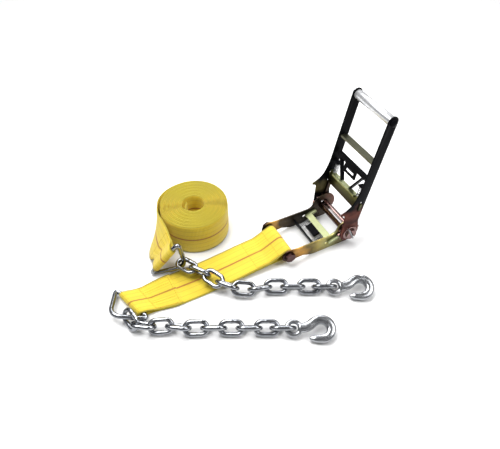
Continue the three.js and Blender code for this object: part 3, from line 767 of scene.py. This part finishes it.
# ---- webbing ------------------------------------------------------------
def tape(name, centre, across, normal, thick, run, columns=12):
    """A closed woven tape over stations: centre, half-width vector and face normal of each."""
    sides = []
    profile = [(-1 + 2 * k / columns, 1) for k in range(columns + 1)]
    profile += [(1 - 2 * k / columns, -1) for k in range(columns + 1)]
    for c, a, n in zip(centre, across, normal):
        station = []
        for t, face in profile:
            edge = math.sqrt(max(0.0, 1 - abs(t) ** 14)) * 0.75 + 0.25
            lift = face * edge * thick / 2
            station.append(tuple(c + a * t + n * lift))
        sides.append(station)
    verts, faces = swept(sides, False)
    mesh = new_mesh(name, verts, faces)
    layer = mesh.uv_layers.new(name="tape")
    count = len(profile)
    half = STRAP["half"] * MM
    for polygon in mesh.polygons:
        for loop in polygon.loop_indices:
            v = mesh.loops[loop].vertex_index
            layer.data[loop].uv = (profile[v % count][0] * half, run[v // count])
    return mesh


def tape_normals(centre, across):
    ahead = np.gradient(centre, axis=0)
    normal = np.cross(ahead, across)
    return normal / np.linalg.norm(normal, axis=1)[:, None]


def distances(centre):
    """How far along the tape each of its stations lies."""
    return np.concatenate([[0], np.cumsum(np.linalg.norm(np.diff(centre, axis=0), axis=1))])


def eased(t):
    """A soft rise from 0 to 1, level at both ends."""
    t = np.clip(t, 0, 1)
    return t * t * (3 - 2 * t)


def stitches(name, centre, across, normal, lift, rows, first, last, body):
    """Short raised threads in rows along a tape, between two stations, and a row over each end."""
    pitch, drawn, half_wide, high, edge = 0.0042, 0.7, 0.00055, 0.0005, 0.88
    verts, faces = [], []

    def thread(a, b, up):
        ahead = b - a
        size = np.linalg.norm(ahead)
        ahead = ahead / size
        side = np.cross(ahead, up)
        for along, rise in ((0, 0.1), (0.18, 1), (0.82, 1), (1, 0.1)):
            for w, h in ((-1, -0.6), (-0.5, 0.6), (0.5, 0.6), (1, -0.6)):
                verts.append(tuple(a + ahead * size * along + side * w * half_wide + up * (h * rise * high)))
        start = len(verts) - 16
        for ring_at in range(3):
            for k in range(4):
                n = (k + 1) % 4
                base = start + ring_at * 4
                faces.append((base + k, base + n, base + 4 + n, base + 4 + k))
        faces.append((start + 3, start + 2, start + 1, start))
        faces.append((start + 12, start + 13, start + 14, start + 15))

    def spot(i, t):
        i0 = int(math.floor(i))
        i1 = min(i0 + 1, len(centre) - 1)
        f = i - i0
        middle, half, up = (x[i0] * (1 - f) + x[i1] * f for x in (centre, across, normal))
        return middle + half * t + up * lift, up

    pace = pitch / np.linalg.norm(centre[first + 1] - centre[first])
    for t in rows:
        i = float(first)
        while i + pace * drawn < last:
            a, up = spot(i, t)
            b, _ = spot(i + pace * drawn, t)
            thread(a, b, up)
            i += pace
    count = int(np.linalg.norm(across[first]) * 2 * 0.9 / pitch)
    for at in (first, last):
        for k in range(count):
            t0 = -edge + 2 * edge * k / count
            a, up = spot(at, t0)
            b, _ = spot(at, t0 + 2 * edge / count * drawn)
            thread(a, b, up)
    piece(name, new_mesh(name, verts, faces), thread_look, body)


def short_strap():
    bolt_x, bolt_z = BOLT["x"], BOLT["z"]
    ring_x, ring_z = bolt_x - STRAP["length"], STRAP["ring_z"]
    flat = STRAP["flat_z"]
    ply = STRAP["thick"] / 2 + 0.1
    count = 120
    middle = smooth_line([
        (bolt_x - 30, 14.5), (bolt_x - 75, 9.8), (bolt_x - 115, 5.2), (bolt_x - 145, flat),
        (ring_x + 50, flat), (ring_x + 26, flat + 0.4),
    ], count)
    slope = np.gradient(middle, axis=0)
    slope /= np.linalg.norm(slope, axis=1)[:, None]
    up = np.stack([-slope[:, 1], slope[:, 0]], axis=1)
    up *= np.sign(up[:, 1])[:, None]
    bolt_r = BOLT["sleeve"] + 0.4 + STRAP["thick"] / 2
    ring_r = RING["wire"] / math.cos(math.radians(STRAP["skew"])) + 0.4 + STRAP["thick"] / 2
    shift = np.interp(np.arange(count), [0, 45, 75, count - 1], [ply, ply, -ply, -ply])
    main = middle + up * shift[:, None]
    flap_bolt = (middle - up * ply)[2:34][::-1]
    flap_ring = (middle + up * ply)[88:118][::-1]
    bolt_turn = [(bolt_x + bolt_r * math.cos(a), bolt_z + bolt_r * math.sin(a))
                 for a in (math.radians(-98 + 213 * i / 24) for i in range(25))]
    ring_turn = [(ring_x + ring_r * math.cos(a), ring_z + ring_r * math.sin(a))
                 for a in (math.radians(270 - 200 * i / 20) for i in range(21))]
    # From the flap at the bolt round the sleeve, down the strap, round the ring's bar and back.
    path = [tuple(p) for p in flap_bolt[:-1:4]]
    path += bolt_turn[::3] + [tuple(p) for p in main[4:114:5]] + ring_turn[::3]
    path += [tuple(p) for p in flap_ring[2::4]]
    line = smooth_line(path, 460)
    x, z = line[:, 0], line[:, 1]
    # The strap draws in, and its stations lean over to the skewed bar, near the ring.
    share = eased((ring_x + 80 - x) / 68)
    lean = GATHERED * math.tan(math.radians(STRAP["skew"]))
    half = STRAP["half"] * (1 - (1 - GATHERED) * share)
    centre = np.stack([x, np.zeros_like(x), z], axis=1)
    across = np.stack([-half * lean * share, half, np.zeros_like(x)], axis=1)
    to_row = np.array(RATCHET.to_3x3())
    centre = centre @ to_row.T * MM + np.array(RATCHET.translation)
    across = across @ to_row.T * MM
    normal = -tape_normals(centre, across)
    run = distances(centre)
    mesh = tape("short strap", centre, across, normal, STRAP["thick"] * MM, run)
    made = piece("short_webbing", mesh, webbing_look, "short_strap", ["short_strap"])
    total = len(centre) - 1
    rows = (-0.88, -0.45, 0, 0.45, 0.88)
    for stitched, first, last in (
        ("ring_end_stitching", int(np.searchsorted(run, run[-1] - 0.058)), total - 4),
        ("bolt_end_stitching", int(np.searchsorted(run, 0.15)), int(np.searchsorted(run, 0.2))),
    ):
        lift = (np.sign(normal[(first + last) // 2][2]) or 1) * STRAP["thick"] / 2 * MM
        stitches(stitched, centre, across, normal, lift, rows, first, last, "short_strap")
    return float(run[-1])


SHORT_LENGTH = short_strap()


def long_strap():
    cx, cy, outer, ply = ROLL["x"], ROLL["y"], ROLL["outer"], ROLL["pitch"] / 2
    thick = STRAP["thick"]
    start_r, end_r = ROLL["inner"] + ply, outer - ply
    turns = (end_r - start_r) / ROLL["pitch"]
    final = math.pi
    steps = int(turns * 64)
    spiral = []
    for i in range(steps + 1):
        t = i / steps
        angle = final - 2 * math.pi * turns * (1 - t)
        r = start_r + (end_r - start_r) * t
        # The tape eases off the roll over its last radian or so, and every turn is a little uneven.
        r += 3.7 * eased((angle - final + 1.1) / 1.1)
        r += 0.25 * math.sin(angle * 3 + r * 0.7) + 0.2 * math.sin(angle * 2 + 1)
        spiral.append((cx + r * math.cos(angle), cy + r * math.sin(angle)))
    inner = []
    x0, y0 = spiral[0]
    a0 = final - 2 * math.pi * turns
    lead = Vector((math.sin(a0), -math.cos(a0)))
    inward = Vector((-math.cos(a0), -math.sin(a0)))
    # The free end curls into the open middle.
    for d in range(24, 0, -2):
        p = Vector((x0, y0)) + lead * d * 0.55 + inward * (d * d / 34)
        inner.append((p.x, p.y))
    flat = np.array(inner + spiral)
    # The heights of the roll's two edges, each a little uneven.
    low = 1.2 + 0.7 * np.sin(np.arange(len(flat)) * 0.021) ** 2
    high = 75.2 - 0.9 * np.sin(np.arange(len(flat)) * 0.034 + 1) ** 2
    top_roll = np.column_stack([flat, high])
    bottom_roll = np.column_stack([flat, low])
    half = STRAP["half"] * GATHERED

    def place(behind, along, out):
        """A point by the ring's bar: behind the ring, along the bar, and out from the ring."""
        return tuple(RIGHT_RING @ (Vector((out, along, behind)) * MM) / MM)

    def beside(angle, z):
        turn = math.radians(angle)
        return cx + (outer + 2.4) * math.cos(turn), cy + (outer + 2.4) * math.sin(turn), z

    # The tail leaves the roll on edge; its top edge leans over to the far end of the ring's bar.
    top = smooth_line([
        beside(180, 75), beside(192, 75), beside(205, 75), (-168.2, 49.7, 74), (-154.2, 21.7, 70),
        place(22, half, 1.2), place(11, half, 5),
    ], 90)
    bottom = smooth_line([
        beside(180, 1.6), (-189.2, 79.7, 1.6), (-197.2, 58.7, 1.6), (-201.2, 35.7, 2), (-196.2, 7.7, 6),
        place(22, -half, 1.2), place(11, -half, 5),
    ], 90)
    wire = RING["wire"] + 0.4 + thick / 2
    # The loop turns round the bar and runs back under the tail.
    turn_top, turn_bottom, under_top, under_bottom = [], [], [], []
    for i in range(17):
        a = math.radians(62 + 216 * i / 16)
        x, z = wire * math.cos(a), wire * math.sin(a)
        turn_top.append(place(x, half, z))
        turn_bottom.append(place(x, -half, z))
    for x, z in ((8, -3.6), (14, -1.9), (20, -0.6), (26, -0.2)):
        under_top.append(place(x, half, z))
        under_bottom.append(place(x, -half, z))
    top_all = np.vstack([top_roll[:-1], top, turn_top, under_top])
    bottom_all = np.vstack([bottom_roll[:-1], bottom, turn_bottom, under_bottom])
    centre = (top_all + bottom_all) / 2 * MM
    across = (top_all - bottom_all) / 2 * MM
    normal = tape_normals(centre, across)
    run = distances(centre)
    mesh = tape("long strap", centre, across, normal, thick * MM, run, 10)
    made = piece("long_webbing", mesh, webbing_look, "long_strap",
                 ["strap_roll", "strap_tail"])
    tail = len(top_roll) - 1
    for stitched, sign in (("tail_stitching", 1), ("tail_stitching_back", -1)):
        stitches(stitched, centre, across, normal, sign * thick / 2 * MM, (-0.85, -0.4, 0, 0.4, 0.85),
                 tail + 62, tail + 84, "long_strap")
    return float(run[-1])


LONG_LENGTH = long_strap()
print("flat lengths", SHORT_LENGTH, LONG_LENGTH)

# ---- floor, world and lights --------------------------------------------
floor_mesh = bpy.data.meshes.new("floor")
floor_mesh.from_pydata([(-4, -4, 0), (4, -4, 0), (4, 6, 0), (-4, 6, 0)], [], [(0, 1, 2, 3)])
floor_look = plain("paper", (0.97, 0.97, 0.97), 0.8)
floor_mesh.materials.append(floor_look)
floor = bpy.data.objects.new("floor", floor_mesh)
floor.location.z = min(before[0][2], 0) - 0.0004
bpy.context.scene.collection.objects.link(floor)

world = bpy.data.worlds.new("studio")
bpy.context.scene.world = world
world.use_nodes = True
tree = world.node_tree
background = tree.nodes["Background"]
coords = tree.nodes.new("ShaderNodeTexCoord").outputs["Generated"]
split = tree.nodes.new("ShaderNodeSeparateXYZ")
tree.links.new(coords, split.inputs[0])
height = math_node(tree, "ADD", math_node(tree, "MULTIPLY", split.outputs[2], 0.5), 0.5)
bands = ramp_node(tree, height, [
    (0.0, (0.9, 0.9, 0.9)), (0.5, (0.55, 0.55, 0.55)), (0.56, (0.04, 0.04, 0.045)),
    (0.7, (0.05, 0.05, 0.055)), (0.76, (1.0, 1.0, 1.0)), (0.86, (1.0, 1.0, 1.0)),
    (0.9, (0.12, 0.12, 0.13)), (1.0, (0.1, 0.1, 0.1)),
])
tree.links.new(bands, background.inputs["Color"])
background.inputs["Strength"].default_value = 0.62


def area(name, location, target, size, power):
    lamp = bpy.data.lights.new(name, "AREA")
    lamp.shape = "RECTANGLE"
    lamp.size, lamp.size_y = size
    lamp.energy = power
    made = bpy.data.objects.new(name, lamp)
    made.location = location
    aim = Vector(target) - Vector(location)
    made.rotation_euler = aim.to_track_quat("-Z", "Y").to_euler()
    bpy.context.scene.collection.objects.link(made)


area("key", (-0.5, 0.15, 1.6), (0, 0, 0.05), (1.1, 0.9), 34)
area("fill", (1.0, -0.3, 1.2), (0.1, 0.05, 0.1), (0.7, 0.9), 11)
area("back", (0.2, 1.3, 1.3), (0, 0, 0.1), (1.4, 0.5), 20)
bpy.context.scene.view_settings.view_transform = "Standard"
